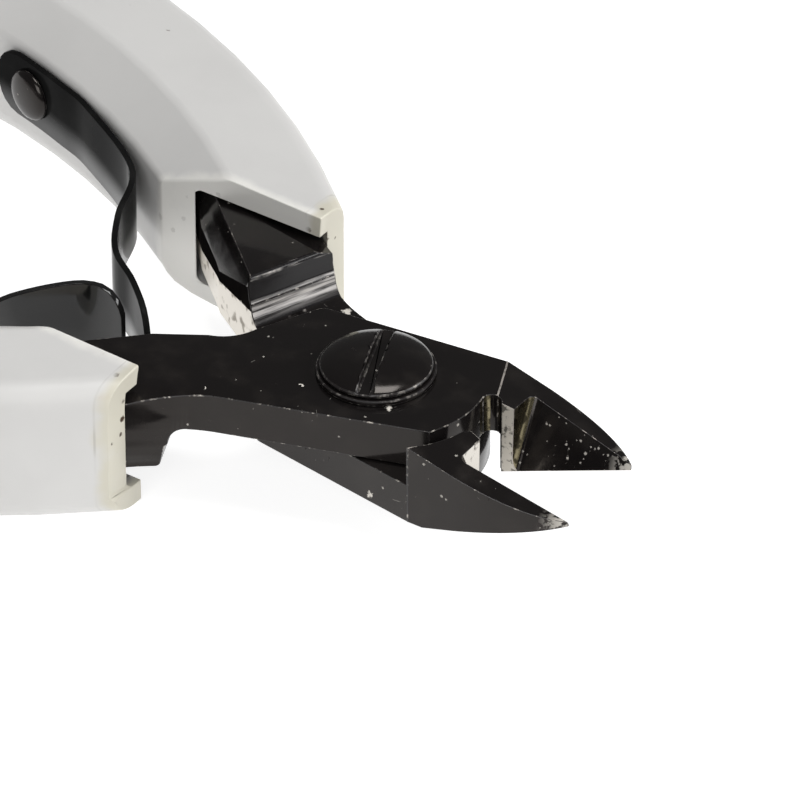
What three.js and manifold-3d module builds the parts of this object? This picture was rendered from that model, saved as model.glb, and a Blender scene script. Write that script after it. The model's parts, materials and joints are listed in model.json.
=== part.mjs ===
// Electronics side cutters: two black steel levers in a lap joint on one slotted pivot screw, a hollow
// hard-plastic grip on each tang, and a leaf spring riveted to the inner face of each grip. Millimetres,
// +Z up along the pivot, X along the tool with the jaw tips at +X. The part is drawn open, as the springs
// hold it. Each lever is modelled in its closed pose and turned by half the opening in its own group.
import * as THREE from "three";
import { mergeVertices } from "three/addons/utils/BufferGeometryUtils.js";
import Module from "manifold-3d";

const wasm = await Module();
wasm.setup();

// Levers
const LEVER_THICKNESS = 6;
const HALF_OPENING = 11.4; // degrees each lever is turned from closed
const LAP_GAP = 0.1;
const LAP_PLANE = LEVER_THICKNESS / 2;
const NOSE_RADIUS = 7.55;
const SHOULDER_RADIUS = 8.6;
const CUT_LINE_GAP = 0.05; // from the closed cut line to either jaw
const THROAT = { x: 8.2, radius: 0.65 };
const STEP = { inner: [-13.5, 1], outer: [-12.3, 7], rootRadius: 1.2, ledge: 0.25, cornerRadius: 0.4 };
// Plan of the head with the handle side at -Y: each bend is the control point of the curve between its ends
const HEAD = {
  noseCornerY: -4.85,
  jawSideEnd: [-5.5, 5.3],
  rearCorner: [-6.1, 5.35],
  rearTop: [-6.4, 4.95],
  rearFoot: [-9.2, 1.3],
  rearBend: [-10.1, -0.3],
  tangInner: [-11.8, -0.5],
  tangStart: 3,
  outerBend: [-11.4, -7.1],
  outerFoot: [-8.8, -6.7],
};
const TANG_BEVEL = { from: [-8.8, -6.65], to: [-14.9, -6.5], across: 2.5, down: 1, length: 17 };

// Jaws
const JAW_TIP_X = 18;
const JAW_TIP_WIDTH = 0.15;
const JAW_SIDE = { bend: [16.1, 2.45], foot: [11, 3.72] };
const JAW_ROOT = 1.3; // how far the jaw reaches back past the throat
const CREASE = { outer: [7.5, 4.45], inner: [8.45, 0.2], dropPerMm: 0.267 };
const FLUSH_FACE = { startX: 7.7, risePerMm: 0.3, dropAcrossPerMm: 0.06 };
const BEVEL = { startX: 9.65, crestX: 10.1, crestY: 2.35, rootRadius: 0.5 };

// Tangs and the centreline that they share with the grips, measured towards the handle side
const TANG_WIDTH = 6.4;
const TANG_END_WIDTH = 4.6;
const TANG_LENGTH = 62;
const TANG_SWELL = { across: 0.75, from: 9, to: 13 }; // on the inner side, fading out inside the grip
const INNER_BEVEL = { from: -1.8, to: 8.3, across: 0.95, down: 2.4, length: 14 };
const BEVEL_AT_STEP = 1.15;
const BEVEL_AT_HEAD = 0.5;
const HANDLE_START = [-13.5, 4.68];
const HANDLE_FLARE = THREE.MathUtils.degToRad(30.5);
const FLARE_LENGTH = 4;
const BEND_RADIUS = 60;
const BEND_ANGLE = THREE.MathUtils.degToRad(33.5);
const HANDLE_LENGTH = 112;

// Grips
const GRIP_TOP = 8;
const GRIP_BOTTOM = -3.1;
const GRIP_MIDDLE = (GRIP_TOP + GRIP_BOTTOM) / 2;
const GRIP_INNER_OFFSET = 5.6; // centreline to the face towards the other handle
const GRIP_OUTER_OFFSET = 4.8;
const GRIP_FLOOR = 1.6; // wall under the mouth
const GRIP_FIT = 0.15;
const MOUTH_CLEARANCE = 0.25;
const MOUTH_DEPTH = 13;
const INNER_CHAMFER = { across: 3.4, down: 2.3 };
const INNER_FOOT = { across: 4, up: 2.2 };
const OUTER_SLOPE = { down: 0.3, corner: 1.6 }; // from the ridge of the grip to its outer side
const OUTER_RADIUS = 1.8;
const MOUTH_FACE_Y = 10.2; // open pose, from the tool's axis
// Fronts of the two grips in the open pose: the upper one is pressed on further and its rim is worn deeper
const UPPER_FRONT = { x: -11.8, rimDepth: 0.25 };
const LOWER_FRONT = { x: -11.5, rimDepth: 0.15 };
const LIP = { curve: 1.4, edge: 0.45 }; // the mouth's top lip
const PALM = { at: 78, inner: 6.6, outer: 7 };
const GRIP_END = { inner: 5.6, outer: 5.6, roundLength: 5 };

// Pivot screw and washer
const SCREW_RADIUS = 2.5;
const BORE_CLEARANCE = 0.15;
const WASHER = { radius: 4, thickness: 0.4 };
const SCREW_HEAD = { radius: 3.77, rim: 0.3, dome: 0.75, edge: 0.12 };
const SCREW_FOOT = 0.3; // the end of the shank, sunk below the underside of the levers
const SLOT = { width: 0.9, depth: 0.75, turn: -57 };
const SEAT_GAP = 0.02;

// Leaf springs
const LEAF_WIDTH = 5;
const LEAF_THICKNESS = 0.45;
const LEAF_END_RADIUS = 2;
const LEAF_ROOT = { from: 35, to: 23.5 }; // along the handle centreline
const LEAF_SEAT_GAP = 0.3;
const RIVET = { at: 31, radius: 1.1, headRadius: 1.9, headHeight: 0.7, reach: 5.8 };
const RIVET_CLEARANCE = 0.15;
const RIVET_LIFT = 0.1; // clears the slight curve of the leaf's root
// Free arms of the two leaves in the open pose, both on the -Y side; the lower lever's is mirrored
const UPPER_ARM = [[-27.4, -10.6], [-25.2, -5.7], [-22.9, -2.55], [-21.2, -1.7], [-19.1, -1.9]];
const LOWER_ARM = [[-27.4, -10.6], [-25, -5.7], [-22.7, -2.2], [-19.7, 0], [-16.4, 2.9]];

const rad = THREE.MathUtils.degToRad;

// A closed surface as a solid that can be joined and cut; an inside-out one is turned.
function solid(geometry) {
  const plain = geometry.index ? geometry.toNonIndexed() : geometry.clone();
  plain.deleteAttribute("normal");
  plain.deleteAttribute("uv");
  const merged = mergeVertices(plain, 1e-4);
  const make = (triVerts) =>
    new wasm.Manifold(
      new wasm.Mesh({ numProp: 3, vertProperties: merged.attributes.position.array, triVerts }),
    );
  const faces = new Uint32Array(merged.index.array);
  const made = make(faces);
  return made.volume() > 0 ? made : make(faces.reverse());
}

function geometryOf(made) {
  const { numProp, vertProperties, triVerts } = made.getMesh();
  const count = vertProperties.length / numProp;
  const positions = new Float32Array(count * 3);
  for (let i = 0; i < count; i++) {
    positions.set(vertProperties.subarray(i * numProp, i * numProp + 3), i * 3);
  }
  const geometry = new THREE.BufferGeometry();
  geometry.setAttribute("position", new THREE.BufferAttribute(positions, 3));
  geometry.setIndex(new THREE.BufferAttribute(new Uint32Array(triVerts), 1));
  return geometry;
}

// The mirror image of a solid across the XZ plane.
function mirrored(made) {
  return solid(geometryOf(made).scale(1, -1, 1));
}

// A plan outline pulled up from one height to another.
function slab(shape, from, to, curveSegments = 16) {
  const settings = { depth: to - from, bevelEnabled: false, curveSegments };
  const geometry = new THREE.ExtrudeGeometry(shape, settings);
  return solid(geometry.translate(0, 0, from));
}

function cylinder(radius, from, to, segments = 48) {
  const geometry = new THREE.CylinderGeometry(radius, radius, to - from, segments);
  return solid(geometry.rotateX(Math.PI / 2).translate(0, 0, (from + to) / 2));
}

function box(from, to) {
  const size = to.clone().sub(from);
  const middle = to.clone().add(from).multiplyScalar(0.5);
  return solid(new THREE.BoxGeometry(size.x, size.y, size.z).translate(middle.x, middle.y, middle.z));
}

// Everything within reach on the outer side of a plane through three points, seen anticlockwise from there.
function beyondPlane(a, b, c, reach = 60) {
  const along = b.clone().sub(a).normalize();
  const outward = along.clone().cross(c.clone().sub(a)).normalize();
  const across = outward.clone().cross(along);
  const frame = new THREE.Matrix4().makeBasis(along, across, outward).setPosition(a);
  const geometry = new THREE.BoxGeometry(2 * reach, 2 * reach, reach).translate(0, 0, reach / 2);
  return solid(geometry.applyMatrix4(frame));
}

// The handle centreline in the closed pose, in x and distance towards the handle side: a straight flare
// out of the joint, one bend, and a straight run to the end.
function handleAt(length) {
  const flare = Math.min(length, FLARE_LENGTH);
  const turned = THREE.MathUtils.clamp((length - FLARE_LENGTH) / BEND_RADIUS, 0, BEND_ANGLE);
  const run = Math.max(0, length - FLARE_LENGTH - BEND_RADIUS * BEND_ANGLE);
  const angle = HANDLE_FLARE - turned;
  const x =
    HANDLE_START[0] -
    flare * Math.cos(HANDLE_FLARE) -
    BEND_RADIUS * (Math.sin(HANDLE_FLARE) - Math.sin(angle)) -
    run * Math.cos(angle);
  const out =
    HANDLE_START[1] +
    flare * Math.sin(HANDLE_FLARE) +
    BEND_RADIUS * (Math.cos(angle) - Math.cos(HANDLE_FLARE)) +
    run * Math.sin(angle);
  return { x, out, angle };
}

// A point beside the centreline, positive away from the other handle, on the upper lever's side (-Y).
function besideHandle(length, offset) {
  const { x, out, angle } = handleAt(length);
  return new THREE.Vector2(x + offset * Math.sin(angle), -(out + offset * Math.cos(angle)));
}

// Stations along the handle, close together only in the bend.
function stations(from, to, bendSteps) {
  const list = [from];
  for (let i = 0; i <= bendSteps; i++) {
    const s = FLARE_LENGTH + (i / bendSteps) * BEND_RADIUS * BEND_ANGLE;
    if (s > from && s < to) list.push(s);
  }
  list.push(to);
  return list;
}

function tangHalfWidth(length) {
  const share = THREE.MathUtils.clamp(length / TANG_LENGTH, 0, 1);
  return (TANG_WIDTH + (TANG_END_WIDTH - TANG_WIDTH) * share) / 2;
}

// How far the tang's inner side lies from the centreline.
function tangInner(length) {
  const swell = TANG_SWELL.across * (1 - THREE.MathUtils.smoothstep(length, TANG_SWELL.from, TANG_SWELL.to));
  return tangHalfWidth(length) + swell;
}

// The tang's plan, out along its inner side and back along its outer side, grown by a margin on each.
function tangPoints(from, to, innerMargin, outerMargin) {
  const list = stations(from, to, 8);
  const inner = list.map((s) => besideHandle(s, -tangInner(s) - innerMargin));
  const outer = list.map((s) => besideHandle(s, tangHalfWidth(s) + outerMargin));
  return [...inner, ...outer.reverse()];
}

// The lever without its jaw, handle side at -Y: nose arc, cut line, jaw side, rear edge and tang.
function leverOutline() {
  const noseCorner = Math.asin(HEAD.noseCornerY / NOSE_RADIUS);
  const shape = new THREE.Shape();
  shape.absarc(0, 0, NOSE_RADIUS, noseCorner, 0, false);
  shape.lineTo(NOSE_RADIUS, CUT_LINE_GAP);
  shape.lineTo(...CREASE.outer);
  shape.lineTo(...HEAD.jawSideEnd);
  shape.quadraticCurveTo(...HEAD.rearCorner, ...HEAD.rearTop);
  shape.lineTo(...HEAD.rearFoot);
  shape.quadraticCurveTo(...HEAD.rearBend, ...HEAD.tangInner);
  for (const point of tangPoints(HEAD.tangStart, TANG_LENGTH, 0, 0)) shape.lineTo(point.x, point.y);
  shape.quadraticCurveTo(...HEAD.outerBend, ...HEAD.outerFoot);
  return shape;
}

// One jaw on the +Y side of the cut line, full thickness, before the lap pocket is cut.
function jaw() {
  const outline = new THREE.Shape();
  outline.moveTo(THROAT.x - JAW_ROOT, CUT_LINE_GAP);
  outline.lineTo(JAW_TIP_X, CUT_LINE_GAP);
  outline.lineTo(JAW_TIP_X, CUT_LINE_GAP + JAW_TIP_WIDTH);
  outline.quadraticCurveTo(...JAW_SIDE.bend, ...JAW_SIDE.foot);
  outline.lineTo(...CREASE.outer);
  outline.lineTo(THROAT.x - JAW_ROOT, CREASE.outer[1] / 2);
  const topAt = (x, y) => {
    const along = CREASE.inner[0] - CREASE.outer[0];
    const across = CREASE.inner[1] - CREASE.outer[1];
    const acrossDrop = (CREASE.dropPerMm * -along) / across;
    const drop = CREASE.dropPerMm * (x - CREASE.inner[0]) + acrossDrop * (y - CREASE.inner[1]);
    return LEVER_THICKNESS - drop;
  };
  const flushAt = (x, y) => FLUSH_FACE.risePerMm * (x - FLUSH_FACE.startX) - FLUSH_FACE.dropAcrossPerMm * y;
  const onTop = (x, y) => new THREE.Vector3(x, y, topAt(x, y));
  const onFlush = (x, y) => new THREE.Vector3(x, y, flushAt(x, y));
  const topCut = beyondPlane(onTop(0, 0), onTop(JAW_TIP_X, 0), onTop(JAW_TIP_X, JAW_TIP_X));
  const flushCut = beyondPlane(onFlush(0, 0), onFlush(0, JAW_TIP_X), onFlush(JAW_TIP_X, 0));

  const edgeStart = onFlush(BEVEL.startX, CUT_LINE_GAP);
  const edgeEnd = onFlush(JAW_TIP_X, CUT_LINE_GAP);
  const wallUp = onTop(BEVEL.crestX, BEVEL.crestY).sub(edgeStart).normalize();
  const alongEdge = edgeEnd.sub(edgeStart).normalize();
  const outward = alongEdge.clone().cross(wallUp).normalize();
  const awayFromWall = wallUp.clone().cross(outward).normalize();
  const reach = JAW_TIP_X;
  const profile = new THREE.Shape();
  profile.moveTo(BEVEL.rootRadius, 0);
  profile.lineTo(reach, 0);
  profile.lineTo(reach, reach);
  profile.lineTo(0, reach);
  profile.lineTo(0, BEVEL.rootRadius);
  profile.absarc(BEVEL.rootRadius, BEVEL.rootRadius, BEVEL.rootRadius, Math.PI, 1.5 * Math.PI, false);
  const frame = new THREE.Matrix4().makeBasis(awayFromWall, outward, wallUp).setPosition(edgeStart);
  const along = { depth: 2 * reach, bevelEnabled: false, curveSegments: 6 };
  const cutter = new THREE.ExtrudeGeometry(profile, along);
  const bevelCut = solid(cutter.translate(0, 0, -reach).applyMatrix4(frame));
  const block = slab(outline, 0, LEVER_THICKNESS, 14);
  return block.subtract(topCut).subtract(flushCut).subtract(bevelCut);
}

// The space that the other lever's lap plate swings in, below the lap plane, handle side at -Y.
function lapPocket() {
  const [innerX, innerOut] = STEP.inner;
  const [outerX, outerOut] = STEP.outer;
  const along = new THREE.Vector3(outerX - innerX, -(outerOut - innerOut), 0).normalize();
  const up = new THREE.Vector3(0, 0, 1);
  const forward = along.clone().cross(up).negate();
  const top = LAP_PLANE + LAP_GAP / 2;
  const { rootRadius, ledge, cornerRadius } = STEP;
  const profile = new THREE.Shape();
  profile.moveTo(-cornerRadius, -2);
  profile.lineTo(-cornerRadius, 0);
  profile.quadraticCurveTo(0, 0, 0, cornerRadius);
  profile.lineTo(ledge, top - rootRadius - 0.3);
  profile.lineTo(2 * ledge, top - rootRadius);
  profile.absarc(2 * ledge + rootRadius, top - rootRadius, rootRadius, Math.PI, Math.PI / 2, true);
  profile.lineTo(16, top);
  profile.lineTo(16, -2);
  const frame = new THREE.Matrix4().makeBasis(forward, up, along);
  frame.setPosition(outerX, -outerOut, 0);
  const cutter = new THREE.ExtrudeGeometry(profile, { depth: 40, bevelEnabled: false, curveSegments: 6 });
  const behind = solid(cutter.translate(0, 0, -20).applyMatrix4(frame));
  const limit = box(new THREE.Vector3(-20, -20, -3), new THREE.Vector3(0, 20, LAP_PLANE + 1));
  return behind.intersect(limit).add(cylinder(SHOULDER_RADIUS, -2, top, 96));
}

// What bevels the top of the tang's inner side between the lap step and the grip.
function innerBevel(acrossFrom) {
  const { from, to, across: acrossTo, down, length } = INNER_BEVEL;
  const at = (s, across, z) => {
    const p = besideHandle(s, across - tangInner(s));
    return new THREE.Vector3(p.x, p.y, z);
  };
  const outer = at(to, acrossTo, LEVER_THICKNESS);
  const plane = beyondPlane(at(from, acrossFrom, LEVER_THICKNESS), at(to, 0, LEVER_THICKNESS - down), outer);
  const behindStep = box(
    new THREE.Vector3(handleAt(length).x, -30, 0),
    new THREE.Vector3(STEP.inner[0] + STEP.cornerRadius, 0, LEVER_THICKNESS + 1),
  );
  return plane.intersect(behindStep);
}

// A lever in its closed pose with the handle side at -Y. The lap plate is the upper or the lower half.
function lever(lapOnTop) {
  let pocket = lapPocket();
  if (!lapOnTop) pocket = solid(geometryOf(pocket).scale(1, 1, -1).translate(0, 0, LEVER_THICKNESS));
  const body = slab(leverOutline(), 0, LEVER_THICKNESS, 20);
  const [bevelX, bevelY] = TANG_BEVEL.from;
  const [endX, endY] = TANG_BEVEL.to;
  const edge = beyondPlane(
    new THREE.Vector3(bevelX, bevelY, LEVER_THICKNESS),
    new THREE.Vector3(endX, endY, LEVER_THICKNESS),
    new THREE.Vector3(endX, endY - TANG_BEVEL.across, LEVER_THICKNESS - TANG_BEVEL.down),
  );
  const nearJoint = box(
    new THREE.Vector3(bevelX - TANG_BEVEL.length, -30, 0),
    new THREE.Vector3(0, 0, LEVER_THICKNESS + 1),
  );
  const throat = cylinder(THROAT.radius, -1, LEVER_THICKNESS + 1, 24);
  const relief = solid(geometryOf(throat).translate(THROAT.x, 0, 0));
  return body
    .add(jaw())
    .subtract(pocket)
    .subtract(edge.intersect(nearJoint))
    .subtract(innerBevel(lapOnTop ? BEVEL_AT_HEAD : BEVEL_AT_STEP))
    .subtract(relief)
    .subtract(cylinder(SCREW_RADIUS + BORE_CLEARANCE, -1, LEVER_THICKNESS + 1))
    .subtract(rivetHole());
}

// A value that eases from the mouth to the palm swell and on to the end of the handle.
function alongGrip(mouth, palm, end, length) {
  const ease = THREE.MathUtils.smoothstep;
  if (length < PALM.at) return mouth + (palm - mouth) * ease(length, LEAF_ROOT.from, PALM.at);
  return palm + (end - palm) * ease(length, PALM.at, HANDLE_LENGTH);
}

function gripInner(length) {
  return alongGrip(GRIP_INNER_OFFSET, PALM.inner, GRIP_END.inner, length);
}

function gripOuter(length) {
  return alongGrip(GRIP_OUTER_OFFSET, PALM.outer, GRIP_END.outer, length);
}

// The grip's cross-section as offsets from the centreline and heights from its own middle.
function gripSection(length) {
  const inner = gripInner(length);
  const outer = gripOuter(length);
  const half = GRIP_TOP - GRIP_MIDDLE;
  const ridge = INNER_CHAMFER.across - inner;
  const shoulder = half - OUTER_SLOPE.down;
  const rise = (OUTER_SLOPE.down * OUTER_SLOPE.corner) / (outer - ridge);
  const shape = new THREE.Shape();
  shape.moveTo(-inner, -half + INNER_FOOT.up);
  shape.quadraticCurveTo(-inner, -half, -inner + INNER_FOOT.across, -half);
  shape.absarc(outer - OUTER_RADIUS, -half + OUTER_RADIUS, OUTER_RADIUS, -Math.PI / 2, 0, false);
  shape.lineTo(outer, shoulder - OUTER_SLOPE.corner);
  shape.quadraticCurveTo(outer, shoulder, outer - OUTER_SLOPE.corner, shoulder + rise);
  shape.lineTo(ridge, half);
  shape.lineTo(-inner, half - INNER_CHAMFER.down);
  return shape.getPoints(5);
}

// A closed body through rings of points that all have the same count.
function loft(rings) {
  const count = rings[0].length;
  const positions = rings.flat().flatMap((p) => [p.x, p.y, p.z]);
  const faces = [];
  for (let r = 0; r + 1 < rings.length; r++) {
    for (let i = 0; i < count; i++) {
      const a = r * count + i;
      const b = r * count + ((i + 1) % count);
      faces.push(a, b, b + count, a, b + count, a + count);
    }
  }
  const last = (rings.length - 1) * count;
  for (let i = 1; i + 1 < count; i++) faces.push(0, i + 1, i, last, last + i, last + i + 1);
  const geometry = new THREE.BufferGeometry();
  geometry.setAttribute("position", new THREE.Float32BufferAttribute(positions, 3));
  geometry.setIndex(faces);
  return solid(geometry);
}

// A point given in the open pose, in the closed frame of the upper lever.
function toClosed(x, y) {
  const point = new THREE.Vector2(x, y);
  return point.rotateAround(new THREE.Vector2(), -rad(HALF_OPENING));
}

// Everything on one side of an upright plane given by two open-pose points, left of the way between them.
function besideWall(from, to) {
  const a = toClosed(...from);
  const b = toClosed(...to);
  const low = new THREE.Vector3(a.x, a.y, 0);
  return beyondPlane(low, new THREE.Vector3(a.x, a.y, 1), new THREE.Vector3(b.x, b.y, 0));
}

// What the front of a grip is cut back by, closed pose: the rim of its outer wall stands behind its lips.
function frontCut({ x, rimDepth }) {
  const rim = x - rimDepth;
  const shape = new THREE.Shape();
  shape.moveTo(0, GRIP_BOTTOM - 1);
  shape.lineTo(x, GRIP_BOTTOM - 1);
  shape.lineTo(x, GRIP_BOTTOM + GRIP_FLOOR);
  shape.lineTo(rim, GRIP_BOTTOM + GRIP_FLOOR + rimDepth);
  shape.lineTo(rim, LEVER_THICKNESS - LIP.curve);
  shape.quadraticCurveTo(rim, LEVER_THICKNESS + GRIP_FIT, x, GRIP_TOP - LIP.edge);
  shape.lineTo(x, GRIP_TOP + 1);
  shape.lineTo(0, GRIP_TOP + 1);
  const across = { depth: 45, bevelEnabled: false, curveSegments: 5 };
  const geometry = new THREE.ExtrudeGeometry(shape, across).rotateX(Math.PI / 2);
  return solid(geometry.rotateZ(-rad(HALF_OPENING)));
}

// The grip on the upper lever's tang, closed pose: swept body, oblique mouth, hollow for the tang.
function grip(front) {
  const bodyEnd = HANDLE_LENGTH - GRIP_END.roundLength;
  const lengths = [...stations(-9, LEAF_ROOT.from + 4, 8)];
  for (let s = LEAF_ROOT.from + 12; s < bodyEnd; s += 8) lengths.push(s);
  lengths.push(bodyEnd);
  const ring = (length, shrink) =>
    gripSection(length).map(({ x, y }) => {
      const p = besideHandle(length, x * shrink);
      return new THREE.Vector3(p.x, p.y, GRIP_MIDDLE + y * shrink);
    });
  const rings = lengths.map((s) => ring(s, 1));
  for (let turn = 22.5; turn < 80; turn += 22.5) {
    rings.push(ring(bodyEnd + GRIP_END.roundLength * Math.sin(rad(turn)), Math.cos(rad(turn))));
  }
  const mouth = slab(
    new THREE.Shape(tangPoints(-12, MOUTH_DEPTH, MOUTH_CLEARANCE, GRIP_FIT)),
    GRIP_BOTTOM + GRIP_FLOOR,
    LEVER_THICKNESS + GRIP_FIT,
  );
  const socket = slab(
    new THREE.Shape(tangPoints(0, TANG_LENGTH + GRIP_FIT, GRIP_FIT, GRIP_FIT)),
    -GRIP_FIT,
    LEVER_THICKNESS + GRIP_FIT,
  );
  return loft(rings)
    .subtract(besideWall([-40, -MOUTH_FACE_Y], [0, -MOUTH_FACE_Y]))
    .subtract(frontCut(front))
    .subtract(mouth)
    .subtract(socket)
    .subtract(rivetHole());
}

// The frame of a spring rivet: origin on the seat of its head, Z out towards the other handle.
function rivetFrame() {
  const seat = besideHandle(RIVET.at, -gripInner(RIVET.at) - LEAF_SEAT_GAP - LEAF_THICKNESS - RIVET_LIFT);
  const { angle } = handleAt(RIVET.at);
  const outward = new THREE.Vector3(-Math.sin(angle), Math.cos(angle), 0);
  const up = new THREE.Vector3(0, 0, 1);
  const frame = new THREE.Matrix4().makeBasis(up.clone().cross(outward), up, outward);
  return frame.setPosition(seat.x, seat.y, LAP_PLANE);
}

function rivetHole() {
  const depth = RIVET.reach + RIVET_CLEARANCE;
  const hole = cylinder(RIVET.radius + RIVET_CLEARANCE, -depth, RIVET.headHeight, 24);
  return solid(geometryOf(hole).applyMatrix4(rivetFrame()));
}

function rivet() {
  const { radius, headRadius, headHeight, reach } = RIVET;
  const profile = new THREE.Path();
  profile.moveTo(0, -reach);
  profile.lineTo(radius, -reach);
  profile.lineTo(radius, 0);
  profile.lineTo(headRadius, 0);
  profile.quadraticCurveTo(headRadius, headHeight, 0, headHeight);
  const geometry = new THREE.LatheGeometry(profile.getPoints(6), 24).rotateX(Math.PI / 2);
  return solid(geometry.applyMatrix4(rivetFrame()));
}

// A leaf spring on the upper lever's side, closed pose: its root lies along the grip's inner face, and the
// free arm runs through points given in the open pose.
function leaf(arm) {
  const seat = (s) => besideHandle(s, -gripInner(s) - LEAF_SEAT_GAP - LEAF_THICKNESS / 2);
  const { from, to } = LEAF_ROOT;
  const root = [0, 1 / 3, 2 / 3, 1].map((share) => seat(from + (to - from) * share));
  const curve = new THREE.SplineCurve([...root, ...arm.map(([x, y]) => toClosed(x, y))]);
  const length = curve.getLength();
  const steps = [0, 0.03, 0.12, 0.3, 0.6, 1].map((share) => share * LEAF_END_RADIUS);
  const middle = [];
  for (let i = 1; i < 44; i++) middle.push(LEAF_END_RADIUS + (i / 44) * (length - 2 * LEAF_END_RADIUS));
  const along = [...steps, ...middle, ...steps.map((d) => length - d).reverse()];
  const rings = along.map((distance) => {
    const toEnd = Math.min(distance, length - distance, LEAF_END_RADIUS);
    const round = LEAF_END_RADIUS - Math.sqrt(LEAF_END_RADIUS ** 2 - (LEAF_END_RADIUS - toEnd) ** 2);
    const half = LEAF_WIDTH / 2 - round;
    const p = curve.getPointAt(distance / length);
    const t = curve.getTangentAt(distance / length);
    const corner = (side, height) =>
      new THREE.Vector3(
        p.x - (t.y * side * LEAF_THICKNESS) / 2,
        p.y + (t.x * side * LEAF_THICKNESS) / 2,
        LAP_PLANE + height * half,
      );
    return [corner(-1, -1), corner(1, -1), corner(1, 1), corner(-1, 1)];
  });
  return loft(rings).subtract(rivetHole());
}

function screw() {
  const seat = LEVER_THICKNESS + WASHER.thickness + 2 * SEAT_GAP;
  const { radius, rim, dome, edge } = SCREW_HEAD;
  const profile = new THREE.Path();
  profile.moveTo(0, SCREW_FOOT);
  profile.lineTo(SCREW_RADIUS, SCREW_FOOT);
  profile.lineTo(SCREW_RADIUS, seat);
  profile.lineTo(radius - edge, seat);
  profile.lineTo(radius, seat + edge);
  profile.lineTo(radius, seat + rim);
  profile.quadraticCurveTo(radius * 0.75, seat + rim + dome * 0.92, 0, seat + rim + dome);
  const turned = solid(new THREE.LatheGeometry(profile.getPoints(8), 64).rotateX(Math.PI / 2));
  const top = seat + rim + dome;
  const slot = new THREE.BoxGeometry(20, SLOT.width, 2 * SLOT.depth).translate(0, 0, top);
  return turned.subtract(solid(slot.rotateZ(rad(SLOT.turn))));
}

function washer() {
  const from = LEVER_THICKNESS + SEAT_GAP;
  const to = from + WASHER.thickness;
  const hole = cylinder(SCREW_RADIUS + BORE_CLEARANCE, from - 1, to + 1);
  return cylinder(WASHER.radius, from, to, 64).subtract(hole);
}

const STEEL = new THREE.MeshStandardMaterial({ color: 0x2b2a2a, metalness: 0.8, roughness: 0.45 });
const PLASTIC = new THREE.MeshStandardMaterial({ color: 0xd8d6d0, roughness: 0.6 });
const SPRING = new THREE.MeshStandardMaterial({ color: 0x1d1d1d, metalness: 0.9, roughness: 0.25 });

function piece(name, made, material) {
  const mesh = new THREE.Mesh(geometryOf(made), material);
  mesh.name = name;
  return mesh;
}

const upper = new THREE.Group();
upper.rotation.z = rad(HALF_OPENING);
upper.add(
  piece("upper_lever", lever(true), STEEL),
  piece("upper_lever_grip", grip(UPPER_FRONT), PLASTIC),
  piece("upper_leaf_spring", leaf(UPPER_ARM), SPRING),
  piece("upper_spring_rivet", rivet(), STEEL),
);

const lower = new THREE.Group();
lower.rotation.z = -rad(HALF_OPENING);
lower.add(
  piece("lower_lever", mirrored(lever(false)), STEEL),
  piece("lower_lever_grip", mirrored(grip(LOWER_FRONT)), PLASTIC),
  piece("lower_leaf_spring", mirrored(leaf(LOWER_ARM)), SPRING),
  piece("lower_spring_rivet", mirrored(rivet()), STEEL),
  piece("pivot_screw", screw(), STEEL),
  piece("pivot_washer", washer(), STEEL),
);

const tool = new THREE.Group();
tool.name = "side_cutters";
tool.add(upper, lower);

// The part's origin is the middle of the base of its box.
const extent = new THREE.Box3().setFromObject(tool, true);
const centre = extent.getCenter(new THREE.Vector3());
tool.children.forEach((half) => half.position.set(-centre.x, -centre.y, -extent.min.z));

export default tool;
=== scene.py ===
"""Looks of a pair of electronics side cutters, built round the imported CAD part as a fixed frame.

Every steel and plastic piece is a copy of its CAD solid whose edges are rounded as a ground or moulded edge
is, so that worn bright lines and soft rims catch the light. Lengths are in metres unless a name says
otherwise, and the cells of a pattern are counted per metre.
"""

from __future__ import annotations

import json
import logging
import math
from dataclasses import dataclass, field, fields, replace
from enum import Enum, IntEnum
from functools import cache
from typing import Callable

import bpy
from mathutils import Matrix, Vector

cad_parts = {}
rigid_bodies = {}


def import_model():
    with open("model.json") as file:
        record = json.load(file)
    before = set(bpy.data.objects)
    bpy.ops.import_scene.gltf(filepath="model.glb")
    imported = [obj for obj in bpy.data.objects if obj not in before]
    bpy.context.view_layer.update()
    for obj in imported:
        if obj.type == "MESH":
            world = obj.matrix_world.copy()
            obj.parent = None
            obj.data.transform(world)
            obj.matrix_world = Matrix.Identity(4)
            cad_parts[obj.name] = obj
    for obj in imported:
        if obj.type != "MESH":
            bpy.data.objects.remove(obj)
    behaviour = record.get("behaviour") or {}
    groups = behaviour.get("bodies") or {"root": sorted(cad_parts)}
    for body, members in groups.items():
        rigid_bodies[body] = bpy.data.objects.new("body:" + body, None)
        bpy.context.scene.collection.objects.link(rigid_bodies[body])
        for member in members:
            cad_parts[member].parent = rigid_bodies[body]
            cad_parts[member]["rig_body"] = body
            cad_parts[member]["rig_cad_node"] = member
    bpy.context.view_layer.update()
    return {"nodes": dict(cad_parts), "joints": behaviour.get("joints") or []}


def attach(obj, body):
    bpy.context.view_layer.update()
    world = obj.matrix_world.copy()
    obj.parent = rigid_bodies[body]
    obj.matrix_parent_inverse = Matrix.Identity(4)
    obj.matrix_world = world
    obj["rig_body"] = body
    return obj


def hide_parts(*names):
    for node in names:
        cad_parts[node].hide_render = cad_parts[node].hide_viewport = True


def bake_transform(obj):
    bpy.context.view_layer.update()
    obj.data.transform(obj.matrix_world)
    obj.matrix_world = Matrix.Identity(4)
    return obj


LOG = logging.getLogger("side_cutters")
MM = 0.001
HALF_OPENING = math.radians(11.4)
STEP_ANGLE = math.radians(78.7)
MERGE_DISTANCE = 2e-6
FLAT_ANGLE = math.radians(0.6)
SMOOTH_ANGLE = math.radians(35)
FLAT_WEIGHT = 60
NEIGHBOURS = -1
RUBBED_SLOT = 1
OPAQUE = 1.0
MID_NOISE = 0.5
ANYWHERE = (-math.inf, math.inf)

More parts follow.
